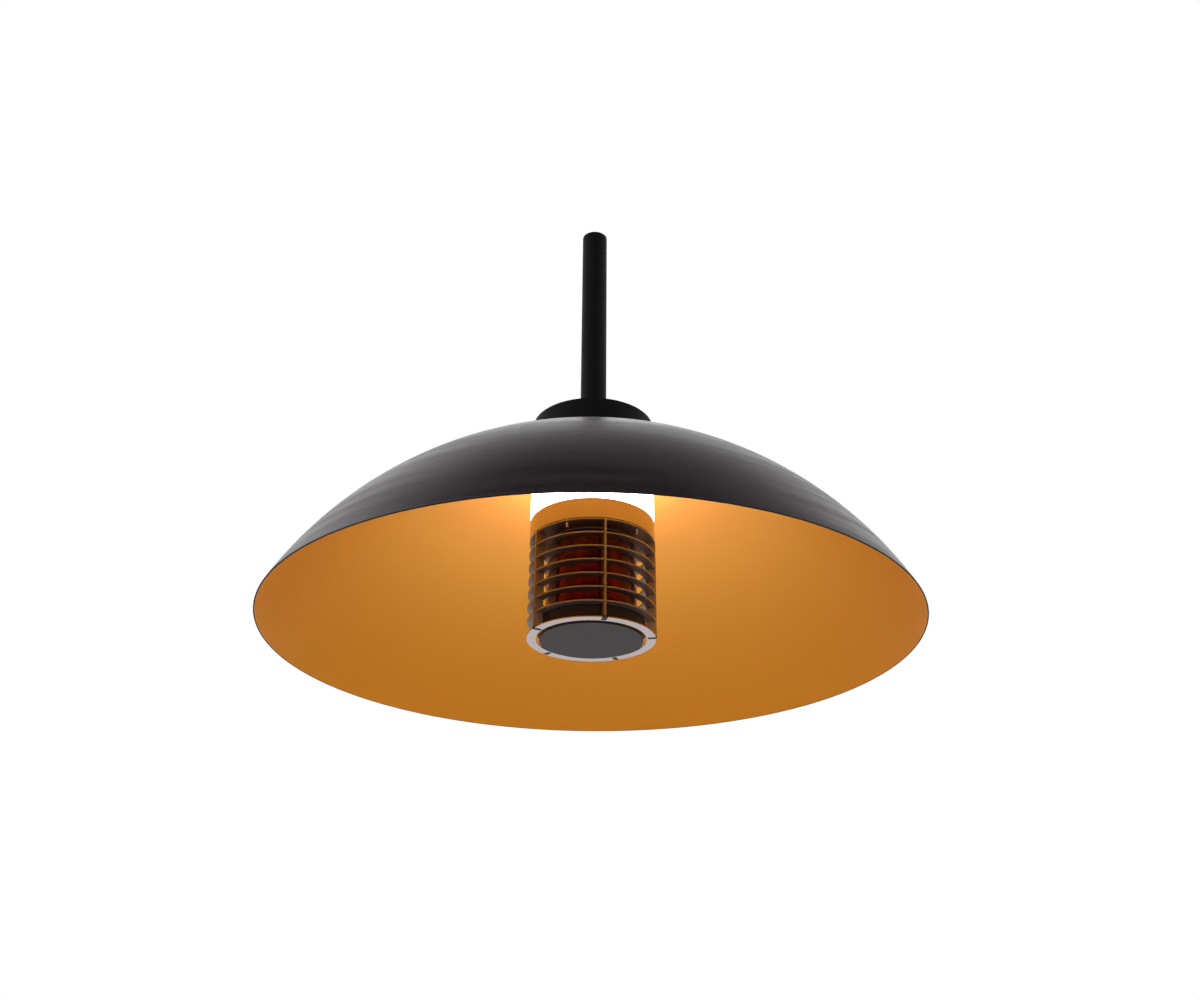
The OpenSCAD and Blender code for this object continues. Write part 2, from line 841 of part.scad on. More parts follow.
// A cup with a narrower foot, which the disc closes
module lower_housing() {
    housing_h = housing_top_h - housing_foot_h;
    foot_part_h = housing_step_h - housing_foot_h;
    color(metal_black)
    drop(housing_foot_h)
    difference() {
        union() {
            cylinder(r = housing_r, h = foot_part_h + housing_t);
            translate([0, 0, foot_part_h]) cylinder(r = housing_body_r, h = housing_h - foot_part_h);
        }
        translate([0, 0, -cut]) cylinder(r = housing_r - housing_t, h = foot_part_h + 2 * housing_t + cut);
        translate([0, 0, foot_part_h + housing_t])
            cylinder(r = housing_body_r - housing_t, h = housing_h - foot_part_h - 2 * housing_t);
        hole(rod_r + hole_gap, housing_h);
        spread(lamp_circle_r, between_turn) hole(lead_hole_r, housing_h);
        translate([0, 0, disc_screw_h - housing_foot_h]) spread(0, cage_turn, disc_screw_count)
            rotate([0, 90, 0]) cylinder(r = disc_screw_d / 2 + hole_gap, h = housing_r + cut);
    }
}

module bottom_disc() {
    color([0.28, 0.27, 0.27])
    drop(-disc_drop)
    difference() {
        union() {
            cylinder(r = housing_r, h = disc_t);
            ring(spigot_r, spigot_r - spigot_t, disc_t + spigot_h);
        }
        translate([0, 0, disc_screw_h + disc_drop]) spread(spigot_r / 2, cage_turn, disc_screw_count)
            rotate([0, 90, 0]) cylinder(r = disc_screw_d / 2 + fit, h = spigot_r);
    }
}

module disc_screws() {
    grip = housing_t + rest_gap + spigot_t;
    color(metal_zinc)
    drop(disc_screw_h)
    spread(housing_r, cage_turn, disc_screw_count) rotate([0, 90, 0])
        screw(disc_screw_d / 2, grip, disc_screw_head_t);
}

// Slots that let the fins in from the outer edge
module fin_slots(t, side_gap = slot_gap) {
    slot_w = fin_t + 2 * side_gap;
    spread(slot_in_r, cage_turn)
        translate([0, -slot_w / 2, -cut]) cube([ring_w + fin_proud, slot_w, t + 2 * cut]);
}

module slotted_ring(side_gap = slot_gap) {
    difference() {
        ring(head_r, ring_in_r, ring_t);
        fin_slots(ring_t, side_gap);
    }
}

module bottom_ring() {
    color(metal_satin)
    drop(0)
    slotted_ring(foot_slot_gap);
}

module louvre_ring(i) {
    color(metal_satin)
    if (i <= ring_count) drop(ring_h(i - 1)) slotted_ring();
}

// A fin is notched on its inner edge where it crosses a ring or the plate
module fin_notch(h, t) {
    translate([-cut, -fin_t / 2 - cut, h - fin_recess - slot_gap])
        cube([cut + ring_bridge + slot_gap, fin_t + 2 * cut, t + 2 * slot_gap]);
}

module cage_fin(i) {
    fin_h = cage_plate_top_h - fin_recess;
    color(metal_satin)
    if (i <= cage_count)
        drop(fin_recess)
        at_turn(ring_in_r, fin_turn(i - 1))
        difference() {
            translate([0, -fin_t / 2, 0]) cube([fin_out_r - ring_in_r, fin_t, fin_h]);
            for (h = concat([0], louvre_levels)) fin_notch(h, ring_t);
            fin_notch(cage_plate_h, cage_plate_t);
        }
}

suspension_tube();
hub_collar();
hub_clamp_screws();
hub_bolts();
hub_nuts();
hub_gasket();
cover_cap();
cap_bush();
cap_seal();
dome_shade();
support_plate();
cable_grommet();
terminal_block();
control_module();
fixing_screws();
earth_stud();
feed_leads();
lamp_leads();
led_driver();
led_floor_plate();
led_drum();
led_strips();
led_chips();
led_diffuser();
diffuser_seals();
tie_rods();
tie_rod_nuts();
tie_rod_spacers();
collar_band();
seam_gasket();
band_screws();
cage_top_plate();
insulation_pad();
heat_shield();
upper_lamp_holders();
lower_lamp_holders();
lamp_tubes();
lamp_end_caps();
lamp_filaments();
centre_reflector();
centre_rod();
centre_rod_nuts();
ruby_glass();
glass_seals();
lower_housing();
bottom_disc();
disc_screws();
bottom_ring();
louvre_ring(1);  // louvre_ring_1
louvre_ring(2);  // louvre_ring_2
louvre_ring(3);  // louvre_ring_3
louvre_ring(4);  // louvre_ring_4
louvre_ring(5);  // louvre_ring_5
louvre_ring(6);  // louvre_ring_6
cage_fin(1);  // cage_fin_1
cage_fin(2);  // cage_fin_2
cage_fin(3);  // cage_fin_3
cage_fin(4);  // cage_fin_4
cage_fin(5);  // cage_fin_5
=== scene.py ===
import json
from math import asin, cos, hypot, pi, radians, sin

import bmesh
import bpy
from mathutils import Matrix, Vector


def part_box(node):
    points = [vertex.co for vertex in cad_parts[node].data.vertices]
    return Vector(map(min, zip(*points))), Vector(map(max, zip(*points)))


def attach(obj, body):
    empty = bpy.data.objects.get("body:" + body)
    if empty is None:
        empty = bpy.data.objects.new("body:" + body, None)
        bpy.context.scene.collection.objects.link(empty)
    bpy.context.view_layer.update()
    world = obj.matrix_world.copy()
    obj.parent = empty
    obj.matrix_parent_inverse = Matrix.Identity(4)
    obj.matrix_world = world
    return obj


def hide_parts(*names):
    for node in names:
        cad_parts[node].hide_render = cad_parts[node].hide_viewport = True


# Looks of the hanging patio heater. Lengths are in metres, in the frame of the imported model:
# the origin is the centre of the ceiling tube's top end, +Z is up and -Y is the front.
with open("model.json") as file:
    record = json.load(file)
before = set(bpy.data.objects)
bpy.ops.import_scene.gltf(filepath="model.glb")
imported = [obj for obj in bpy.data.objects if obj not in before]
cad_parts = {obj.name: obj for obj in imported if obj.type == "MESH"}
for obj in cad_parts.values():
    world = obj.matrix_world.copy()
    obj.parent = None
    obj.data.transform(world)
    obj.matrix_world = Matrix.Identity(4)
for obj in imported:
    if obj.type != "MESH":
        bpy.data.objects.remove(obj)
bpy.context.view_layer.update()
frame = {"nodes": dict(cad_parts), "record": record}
cad = frame["nodes"]

MM = 0.001

# The shade's rim and crown, as the model has them
RIM_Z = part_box("dome_shade")[0].z
RIM_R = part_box("dome_shade")[1].x
CROWN_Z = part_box("dome_shade")[1].z
RIM_CENTRE = Vector((0, 0, RIM_Z))

# Where the photograph was taken from, in rim radii from the centre of the rim, how many degrees the
# camera was tilted up and rolled, and its lens on a sensor of the same width, in millimetres
VIEW_FROM = Vector((0.02413, -3.464, -1.257))
VIEW_TILT = 26.61
VIEW_ROLL = 0.34
VIEW_LENS = 36
SENSOR_WIDTH = 36

# The air is white to the eye and lights the heater evenly. In the heater's gloss it is brightest at
# the horizon and fades out overhead, between two heights that lie a little lower on the right.
AIR_LIGHT = 0.36
HORIZON_LIGHT = 1.44
OVERHEAD_LIGHT = 0.05
FADE_FROM = 0.55
FADE_TO = 0.97
FADE_LEAN = 0.07

# The lights round the heater, which all face the centre of the rim: power, size and place
LIGHTS = {
    "overhead_light": (13, 5.0, (0.4, 2.2, 2.6)),
    "left_light": (40, 4.0, (-3.2, -1.0, 0.4)),
    "right_light": (25, 4.0, (3.2, -1.0, 0.4)),
}

# How far below the rim the floor lies and how far it reaches, and how pale it is made to the eye and
# in the heater's gloss
FLOOR_DEPTH = 2.2
FLOOR_REACH = 30
FLOOR_SEEN = 0.45
FLOOR_MIRRORED = 0.5

# Turns in degrees from the front. The fins stand a fifth of a turn apart, the lamps, bolts and band
# screws halfway between them, and the electric parts on the hub in line with three of them.
COUNT = 5
STEP_TURN = 360 / COUNT
FIN_TURN = 12
LAMP_TURN = FIN_TURN + STEP_TURN / 2
BLOCK_TURN = FIN_TURN + STEP_TURN
STUD_TURN = BLOCK_TURN + STEP_TURN
MODULE_TURN = STUD_TURN + STEP_TURN

# How far from the axis the parts stand
BAND_SCREW_R = 94.5 * MM
HUB_BOLT_R = 53 * MM
CLAMP_SCREW_R = 22.3 * MM
DISC_SCREW_R = 82 * MM
LAMP_R = 48 * MM
BLOCK_R = 44.25 * MM
MODULE_R = 46.25 * MM
STUD_R = 58 * MM

# Half lengths of the electric cases over their ears, the size of an ear, and the leads' spacing
CASE_HALF = 18 * MM
DRIVER_HALF = 42 * MM
EAR_LENGTH = 10 * MM
EAR_HEIGHT = 4 * MM
LEAD_PITCH = 5 * MM

# An edge sharper than this stays an edge
SHARP = radians(32)


class Signal:
    """A value on its way to a shader. Arithmetic on it adds the Math nodes that do the sum."""

    def __init__(self, nodes, socket):
        self.nodes = nodes
        self.socket = socket

    def sum(self, operation, *terms):
        return self.nodes.add("ShaderNodeMath", {"operation": operation}, dict(enumerate(terms)))

    def __add__(self, other):
        return self.sum("ADD", self, other)

    def __sub__(self, other):
        return self.sum("SUBTRACT", self, other)

    def __rsub__(self, other):
        return self.sum("SUBTRACT", other, self)

    def __mul__(self, other):
        return self.sum("MULTIPLY", self, other)

    def __truediv__(self, other):
        return self.sum("DIVIDE", self, other)

    def __rtruediv__(self, other):
        return self.sum("DIVIDE", other, self)

    def __pow__(self, power):
        return self.sum("POWER", self, power)

    __radd__ = __add__
    __rmul__ = __mul__

    def between(self, low, high):
        """0 below low, 1 above high, and smooth in between."""
        ends = {"Value": self, "From Min": low, "From Max": high}
        return self.nodes.add("ShaderNodeMapRange", {"interpolation_type": "SMOOTHSTEP"}, ends)

    def to(self, low, high):
        """A signal of 0 to 1 stretched to run from low to high."""
        return self * (high - low) + low


class Nodes:
    """A node tree that is filled through one method."""

    def __init__(self, tree):
        self.tree = tree
        tree.nodes.clear()

    def add(self, kind, settings=None, inputs=None, output=0):
        """Adds a node: its settings first, then a value or a link for each socket named."""
        made = self.tree.nodes.new(kind)
        for name, value in (settings or {}).items():
            setattr(made, name, value)
        for name, value in (inputs or {}).items():
            if isinstance(value, Signal):
                self.tree.links.new(value.socket, made.inputs[name])
            else:
                made.inputs[name].default_value = value
        return Signal(self, made.outputs[output]) if made.outputs else None

    def axis(self, vector, name):
        """A vector's share along X, Y or Z."""
        return self.add("ShaderNodeSeparateXYZ", None, {0: vector}, name)

    def ray(self, kind):
        """1 for light of this kind, and 0 for the rest."""
        return self.add("ShaderNodeLightPath", output=f"Is {kind} Ray")


class Finish(Nodes):
    """The nodes of one surface finish, which all work from places in the model's frame."""

    def __init__(self, name):
        self.material = bpy.data.materials.new(name)
        self.material.use_nodes = True
        super().__init__(self.material.node_tree)
        self.place = self.add("ShaderNodeTexCoord", output="Object")
        self.x, self.y, self.z = (self.axis(self.place, name) for name in "XYZ")
        self.r = (self.x * self.x + self.y * self.y) ** 0.5

    def point(self, x, y, z):
        return self.add("ShaderNodeCombineXYZ", None, {0: x, 1: y, 2: z})

    def turned(self, pitch, around):
        """Places for lines that run round the axis, pitch apart, and waver over the arc."""
        return self.point(self.x / self.r * around, self.y / self.r * around, (self.r - self.z) / pitch)

    def stretched(self, x, y, z):
        """Places for a grain of the given size along each axis."""
        return self.point(self.x / x, self.y / y, self.z / z)

    def noise(self, where=None, size=1.0, detail=2.0, rough=0.5):
        """Soft spots of this size, in the model's frame or at other places."""
        inputs = {"Vector": where or self.place, "Scale": 1 / size, "Detail": detail, "Roughness": rough}
        return self.add("ShaderNodeTexNoise", None, inputs)

    def cells(self, size, output="Distance"):
        """Cells of this size: the distance from the middle of one, or its own colour."""
        return self.add("ShaderNodeTexVoronoi", None, {"Vector": self.place, "Scale": 1 / size}, output)

    def mix(self, first, second, share):
        """A colour that goes from first to second as share goes from 0 to 1."""
        inputs = {0: share, 6: colour(first), 7: colour(second)}
        return self.add("ShaderNodeMix", {"data_type": "RGBA"}, inputs, 2)

    def shade(self, tone, spread, share):
        """The tone, darker by spread where share is 0 and lighter by it where share is 1."""
        dark, light = ([c * k for c in tone] for k in (1 - spread, 1 + spread))
        return self.mix(dark, light, share)

    def bump(self, height, depth):
        """A relief of this depth, for heights of 0 to 1."""
        inputs = {"Height": height, "Distance": depth, "Strength": 1.0}
        return self.add("ShaderNodeBump", None, inputs)

    def surface(self, **sockets):
        """Ends the finish in one shader. Underscores in a socket's name stand for spaces."""
        inputs = {}
        for name, value in sockets.items():
            is_colour = isinstance(value, tuple)
            inputs[name.replace("_", " ")] = colour(value) if is_colour else value
        shader = self.add("ShaderNodeBsdfPrincipled", None, inputs)
        self.add("ShaderNodeOutputMaterial", None, {"Surface": shader})
        return self.material


def colour(value):
    """A signal as it is, or a plain colour made opaque."""
    return value if isinstance(value, Signal) else (*value, 1.0)


def black_powder_coat():
    """Satin coat of the tube and the cover cap, with the fine orange peel of baked powder."""
    f = Finish("black_powder_coat")
    peel = f.noise(size=1.6 * MM, detail=3)
    wear = f.noise(size=60 * MM, detail=4)
    return f.surface(
        Base_Color=f.shade((0.0046, 0.0041, 0.0043), 0.3, peel),
        Roughness=wear.to(0.42, 0.62),
        Specular_IOR_Level=0.04,
        Normal=f.bump(peel, 0.05 * MM),
    )


def housing_coat():
    """Smooth black coat on the cup round the foot of the glass."""
    f = Finish("housing_coat")
    hairs = f.noise(f.turned(0.6 * MM, 6), detail=3, rough=0.7)
    cloud = f.noise(size=20 * MM, detail=4)
    return f.surface(
        Base_Color=f.shade((0.0050, 0.0032, 0.0024), 0.2, cloud),
        Roughness=(hairs * 0.5 + cloud * 0.5).to(0.30, 0.42),
        Specular_IOR_Level=0.42,
        Specular_Tint=(1.0, 0.88, 0.82),
        Normal=f.bump(hairs, 0.01 * MM),
    )


def dark_shade_metal():
    """Dark metal with the lines of the spinning lathe, broad and fine, and faint rays across them."""
    f = Finish("dark_shade_metal")
    streaks = f.noise(f.turned(26 * MM, 1.6), detail=3)
    hairs = f.noise(f.turned(1.5 * MM, 14), detail=3, rough=0.7)
    rays = f.noise(f.turned(90 * MM, 260), detail=2)
    tone = streaks * 0.4 + hairs * 0.35 + rays * 0.25
    return f.surface(
        Base_Color=f.shade((0.0160, 0.0100, 0.0122), 0.45, tone.between(0.3, 0.7)),
        Roughness=tone.between(0.3, 0.7).to(0.25, 0.42),
        Specular_IOR_Level=0.5,
        Specular_Tint=(1.0, 0.88, 0.93),
        Anisotropic=0.7,
        Normal=f.bump(hairs * 0.6 + rays * 0.4, 0.012 * MM),
    )


# The gold next to the light, painted paler there as painted glare of the light, then halfway out and at the
# rim, and the distances from the axis over which the first turns into the second and the second into the
# third
GOLD_TONES = ((0.725, 0.296, 0.063), (0.865, 0.428, 0.072), (0.71, 0.276, 0.013))
GLARE_ENDS = (0.16, 0.33)
RIM_ENDS = (0.14, 0.54)


def gold_inside():
    """Satin gold paint, paler next to the light with painted glare, lighter halfway out and deeper at the
    rim.
    """
    f = Finish("gold_inside")
    cloud = f.noise(size=90 * MM, detail=4)
    hairs = f.noise(f.turned(1.2 * MM, 10), detail=3, rough=0.6)
    grain = hairs * 0.6 + cloud * 0.4
    # The gold next to the light is painted paler: painted glare of the light
    painted_glare_gold, middle_gold, rim_gold = (f.shade(tone, 0.04, grain) for tone in GOLD_TONES)
    gold_past_glare = f.mix(middle_gold, rim_gold, f.r.between(*RIM_ENDS))
    return f.surface(
        Base_Color=f.mix(painted_glare_gold, gold_past_glare, f.r.between(*GLARE_ENDS)),
        Metallic=0.35,
        Roughness=(cloud * 0.5 + hairs * 0.5).to(0.44, 0.58),
        Specular_IOR_Level=0.25,
        Normal=f.bump(hairs, 0.01 * MM),
    )


def rim_edge():
    """Dull dark metal on the rounded edge of the rim."""
    f = Finish("rim_edge")
    scuff = f.noise(f.turned(0.8 * MM, 30), detail=3)
    return f.surface(
        Base_Color=f.shade((0.0160, 0.0110, 0.0090), 0.4, scuff),
        Roughness=scuff.to(0.55, 0.72),
        Specular_IOR_Level=0.10,
        Normal=f.bump(scuff, 0.02 * MM),
    )


# The painted shade on the fins' feet, down in the bottom ring's slots, and the heights over the rim where
# it fades out
PAINTED_FOOT_SHADE = (0.030, 0.022, 0.018)
FOOT_SHADE_FROM = 2 * MM
FOOT_SHADE_TO = 3.5 * MM


def satin_steel(name, faces, edges=None, shaded_foot=False):
    """Satin steel. In the cage, the faces are rougher and painted browner than the edges, which
    look out from or in to the axis: painted reflection of the gold shade, and for the louvres painted shade
    too. A fin's foot is painted dark: painted shade down in its slot."""
    f = Finish(name)
    hairs = f.noise(f.turned(0.5 * MM, 8), detail=3, rough=0.7)
    smudge = f.noise(size=24 * MM, detail=4)
    grain = hairs * 0.6 + smudge * 0.4
    tone = f.shade(faces, 0.10, grain)
    rough = (hairs * 0.5 + smudge * 0.5).to(0.16, 0.29)
    # The faces are painted browner than the edges, and for the louvres darker too: painted reflection of
    # the gold shade and painted shade inside the cage
    if edges:
        facing = f.add("ShaderNodeNewGeometry", output="Normal")
        outward = (f.axis(facing, "X") * f.x + f.axis(facing, "Y") * f.y) / f.r
        dull = 1 - (outward * outward).between(0.3, 0.7)
        tone = f.mix(f.shade(edges, 0.10, grain), tone, dull)
        rough += dull * 0.26
    # A fin's foot is painted dark: painted shade down in its slot
    if shaded_foot:
        above_foot_shade = (f.z - RIM_Z).between(FOOT_SHADE_FROM, FOOT_SHADE_TO)
        tone = f.mix(PAINTED_FOOT_SHADE, tone, above_foot_shade)
    return f.surface(
        Base_Color=tone,
        Metallic=1.0,
        Roughness=rough,
        Normal=f.bump(hairs, 0.01 * MM),
    )


def weld_metal():
    """Dark scaly metal of the weld beads."""
    f = Finish("weld_metal")
    scale = f.noise(size=1.2 * MM, detail=4, rough=0.7)
    return f.surface(
        Base_Color=f.mix((0.030, 0.024, 0.022), (0.075, 0.056, 0.048), scale),
        Metallic=1.0,
        Roughness=scale.to(0.45, 0.65),
        Normal=f.bump(scale, 0.08 * MM),
    )


def zinc_steel():
    """Zinc plate, with its spangle and a haze of handling."""
    f = Finish("zinc_steel")
    spangle = f.axis(f.cells(4 * MM, "Color"), "X")
    haze = f.noise(size=14 * MM, detail=4)
    return f.surface(
        Base_Color=f.shade((0.55, 0.56, 0.57), 0.16, spangle * 0.5 + haze * 0.5),
        Metallic=1.0,
        Roughness=(spangle * 0.4 + haze * 0.6).to(0.30, 0.50),
        Normal=f.bump(f.noise(size=0.7 * MM), 0.01 * MM),
    )


def black_rubber():
    """Matt rubber, dusty in places."""
    f = Finish("black_rubber")
    skin = f.noise(size=0.6 * MM, detail=3)
    dust = f.noise(size=12 * MM, detail=4)
    return f.surface(
        Base_Color=f.mix((0.010, 0.010, 0.011), (0.030, 0.029, 0.028), dust.between(0.45, 0.75)),
        Roughness=skin.to(0.65, 0.85),
        Specular_IOR_Level=0.3,
        Normal=f.bump(skin, 0.06 * MM),
    )


def glass_gasket_fibre():
    """Woven glass fibre, with the slanting lines of its twill."""
    f = Finish("glass_gasket_fibre")
    weave = {"Vector": f.place, "Scale": 260.0, "Distortion": 1.5}
    twill = f.add("ShaderNodeTexWave", {"bands_direction": "DIAGONAL"}, weave, "Fac")
    return f.surface(
        Base_Color=f.mix((0.10, 0.085, 0.07), (0.30, 0.27, 0.24), twill),
        Roughness=twill.to(0.75, 0.9),
        Normal=f.bump(twill, 0.25 * MM),
    )


def moulded(name, tone, rough, grain):
    """A moulded plastic with a fine spark texture and a faint flow haze."""
    f = Finish(name)
    spark = f.noise(size=grain, detail=3, rough=0.6)
    flow = f.noise(f.stretched(40 * MM, 12 * MM, 25 * MM), detail=3)
    return f.surface(
        Base_Color=f.shade(tone, 0.12, flow * 0.6 + spark * 0.4),
        Roughness=spark.to(rough - 0.08, rough + 0.08),
        Normal=f.bump(spark, 0.05 * MM),
    )


def feed_sleeves():
    """Three leads side by side. Each gets its own colour from its place across the row, which runs
    square to the way from the axis out to the terminal block."""
    f = Finish("feed_sleeves")
    turn = radians(BLOCK_TURN - 90)
    across = f.x * -sin(turn) + f.y * cos(turn)
    border, blur = LEAD_PITCH / 2, 0.01 * MM
    past_first = across.between(-border - blur, -border + blur)
    past_second = across.between(border - blur, border + blur)
    mark = f.noise(f.stretched(2 * MM, 2 * MM, 30 * MM), detail=3)
    brown = f.shade((0.10, 0.045, 0.02), 0.2, mark)
    striped = f.mix((0.05, 0.22, 0.06), (0.62, 0.50, 0.03), f.noise(size=9 * MM).between(0.49, 0.51))
    blue = f.shade((0.02, 0.07, 0.24), 0.2, mark)
    return f.surface(
        Base_Color=f.mix(f.mix(brown, striped, past_first), blue, past_second),
        Roughness=mark.to(0.38, 0.52),
        Normal=f.bump(mark, 0.05 * MM),
    )


def lamp_sleeves():
    """Pale braided sleeves of the lamps' leads."""
    f = Finish("lamp_sleeves")
    braid = f.cells(0.7 * MM)
    return f.surface(
        Base_Color=f.mix((0.78, 0.74, 0.64), (0.50, 0.46, 0.38), braid.between(0.2, 0.7)),
        Roughness=braid.to(0.6, 0.8),
        Normal=f.bump(1 - braid, 0.12 * MM),
    )


def earth_brass():
    """Plain brass, duller in clouds."""
    f = Finish("earth_brass")
    haze = f.noise(size=3 * MM, detail=4)
    return f.surface(
        Base_Color=f.mix((0.62, 0.43, 0.16), (0.80, 0.60, 0.28), haze),
        Metallic=1.0,
        Roughness=haze.to(0.22, 0.42),
        Normal=f.bump(f.noise(f.stretched(0.3 * MM, 0.3 * MM, 4 * MM)), 0.01 * MM),
    )


def rolled(name, tone, rough, pitch):
    """Sheet metal with the fine straight lines of the rolling mill."""
    f = Finish(name)
    lines = f.noise(f.stretched(90 * MM, pitch, 90 * MM), detail=3, rough=0.7)
    cloud = f.noise(size=30 * MM, detail=4)
    return f.surface(
        Base_Color=f.shade(tone, 0.10, lines * 0.5 + cloud * 0.5),
        Metallic=1.0,
        Roughness=(lines * 0.6 + cloud * 0.4).to(rough - 0.08, rough + 0.08),
        Normal=f.bump(lines, 0.01 * MM),
    )


def strip_board():
    """White circuit board under the light chips."""
    f = Finish("strip_board")
    speck = f.noise(size=0.8 * MM, detail=3)
    return f.surface(
        Base_Color=f.mix((0.86, 0.84, 0.76), (0.93, 0.92, 0.88), speck),
        Roughness=speck.to(0.30, 0.46),
        Normal=f.bump(speck, 0.02 * MM),
    )


def light_chip():
    """Lit yellow phosphor."""
    f = Finish("light_chip")
    dots = f.noise(size=0.5 * MM, detail=3)
    return f.surface(
        Base_Color=f.mix((0.90, 0.70, 0.30), (1.0, 0.86, 0.50), dots),
        Roughness=dots.to(0.25, 0.4),
        Emission_Color=f.mix((1.0, 0.72, 0.38), (1.0, 0.82, 0.52), dots),
        Emission_Strength=2.0,
    )


def opal_diffuser():
    """Opal plastic lit from behind, a little fainter between the light strips and at both ends."""
    f = Finish("opal_diffuser")
    low, high = (corner.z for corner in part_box("led_diffuser"))
    fade = 9 * MM
    ends = (f.z - low).between(0, fade) * (high - f.z).between(0, fade)
    bands = f.noise(f.stretched(0.5, 0.5, 22 * MM), detail=1)
    glow = ends * 0.75 + bands * 0.25
    return f.surface(
        Base_Color=f.shade((0.90, 0.87, 0.80), 0.03, bands),
        Roughness=bands.to(0.28, 0.36),
        Emission_Color=f.mix((0.80, 0.768, 0.72), (1.0, 0.96, 0.90), glow),
        Emission_Strength=9.7,
    )


def insulation_board():
    """Pressed ceramic fibre."""
    f = Finish("insulation_board")
    fibre = f.noise(f.stretched(6 * MM, 0.8 * MM, 0.8 * MM), detail=5, rough=0.7)
    return f.surface(
        Base_Color=f.mix((0.62, 0.58, 0.50), (0.86, 0.83, 0.77), fibre),
        Roughness=fibre.to(0.8, 0.95),
        Normal=f.bump(fibre, 0.3 * MM),
    )


def lamp_ceramic():
    """Unglazed ceramic, browned by heat in patches."""
    f = Finish("lamp_ceramic")
    speck = f.noise(size=0.5 * MM, detail=4, rough=0.7)
    heat = f.noise(size=18 * MM, detail=3)
    return f.surface(
        Base_Color=f.mix((0.80, 0.78, 0.72), (0.70, 0.62, 0.50), heat.between(0.5, 0.8)),
        Roughness=speck.to(0.45, 0.65),
        Normal=f.bump(speck, 0.04 * MM),
    )


def ruby_quartz():
    """Clear red tubes of the lamps, which glow faintly."""
    f = Finish("ruby_quartz")
    ripple = f.noise(f.stretched(3 * MM, 3 * MM, 30 * MM), detail=2)
    return f.surface(
        Base_Color=f.mix((0.80, 0.10, 0.04), (0.95, 0.20, 0.09), ripple),
        Roughness=ripple.to(0.02, 0.06),
        Transmission_Weight=0.9,
        IOR=1.46,
        Emission_Color=f.mix((0.9, 0.03, 0.01), (1.0, 0.06, 0.02), ripple),
        Emission_Strength=0.045,
    )


def heating_wire():
    """Wire that glows red, hotter in places."""
    f = Finish("heating_wire")
    heat = f.noise(size=6 * MM, detail=2)
    return f.surface(
        Base_Color=f.mix((0.50, 0.16, 0.06), (0.70, 0.26, 0.10), heat),
        Roughness=heat.to(0.4, 0.6),
        Emission_Color=f.mix((0.80, 0.06, 0.012), (1.0, 0.14, 0.03), heat),
        Emission_Strength=0.6,
    )


def polished_reflector():
    """Mirror-bright sheet with faint upright lines."""
    f = Finish("polished_reflector")
    lines = f.noise(f.stretched(0.4 * MM, 0.4 * MM, 60 * MM), detail=3)
    return f.surface(
        Base_Color=f.shade((0.84, 0.84, 0.85), 0.04, lines),
        Metallic=1.0,
        Roughness=lines.to(0.06, 0.16),
        Normal=f.bump(lines, 0.004 * MM),
    )


def ruby_glass():
    """Dark red drawn glass, not quite even."""
    f = Finish("ruby_glass")
    ripple = f.noise(f.stretched(30 * MM, 30 * MM, 70 * MM), detail=2)
    return f.surface(
        Base_Color=f.mix((0.13, 0.008, 0.004), (0.20, 0.012, 0.006), ripple),
        Roughness=ripple.to(0.02, 0.05),
        Specular_IOR_Level=0.22,
        Specular_Tint=(1.0, 0.30, 0.25),
        Transmission_Weight=1.0,
        IOR=1.47,
        Normal=f.bump(ripple, 0.05 * MM),
    )


def graphite_disc():
    """Matt graphite coat over the faint rings of turning."""
    f = Finish("graphite_disc")
    turning = f.noise(f.turned(0.7 * MM, 5), detail=3, rough=0.6)
    cloud = f.noise(size=20 * MM, detail=4)
    return f.surface(
        Base_Color=f.shade((0.0168, 0.0112, 0.0130), 0.18, turning * 0.4 + cloud * 0.6),
        Roughness=(turning * 0.5 + cloud * 0.5).to(0.44, 0.6),
        Specular_IOR_Level=0.33,
        Specular_Tint=(1.0, 0.86, 0.90),
        Normal=f.bump(turning, 0.02 * MM),
    )


def floor_paint():
    """Pale to the eye, and plainer in what it throws back at the heater."""
    f = Finish("floor_paint")
    cloud = f.noise(size=1.5, detail=3)
    glow = f.ray("Camera") * FLOOR_SEEN + f.ray("Glossy") * FLOOR_MIRRORED
    return f.surface(
        Base_Color=f.shade((0.80, 0.795, 0.79), 0.01, cloud),
        Roughness=cloud.to(0.8, 0.9),
        Specular_IOR_Level=0.1,
        Emission_Color=f.mix((0, 0, 0), (1, 1, 1), glow),
        Emission_Strength=1.0,
    )


